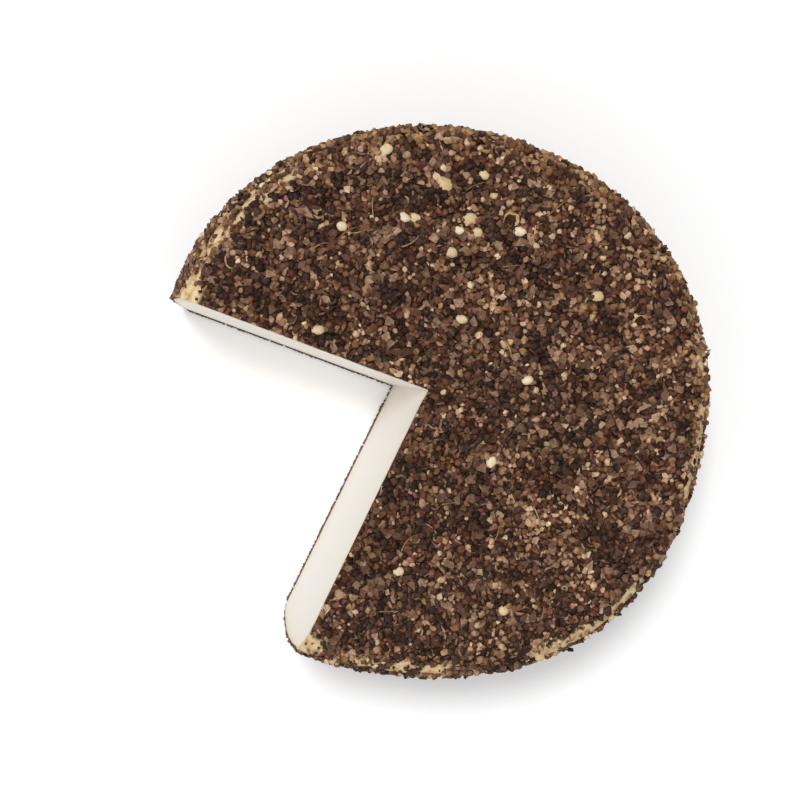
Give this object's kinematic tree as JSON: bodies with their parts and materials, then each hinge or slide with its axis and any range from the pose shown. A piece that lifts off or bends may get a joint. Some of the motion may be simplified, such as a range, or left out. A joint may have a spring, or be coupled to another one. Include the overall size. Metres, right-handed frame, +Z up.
{
  "type": "peppered aged cheese",
  "caption": "Small round aged cheese coated all over in cracked black pepper, with one wedge cut out to show a smooth ivory paste.",
  "frame": {"origin": "middle of the base of the wheel's bounding box, on the surface the cheese stands on", "axes": "+Z up along the wheel's axis; the missing wedge opens towards -X and -Y, with its two cut faces nearly along -X and -Y"},
  "size_m": [0.1484, 0.1468, 0.0536],
  "materials": {
    "pepper_coat": "cracked black pepper pressed into the rind, rough and matt",
    "cheese_paste": "firm ivory cheese paste, smooth where the knife cut it, yellower towards the rind"
  },
  "bodies": {
    "root": {"cheese_wheel": "pepper_coat"}
  },
  "joints": []
}
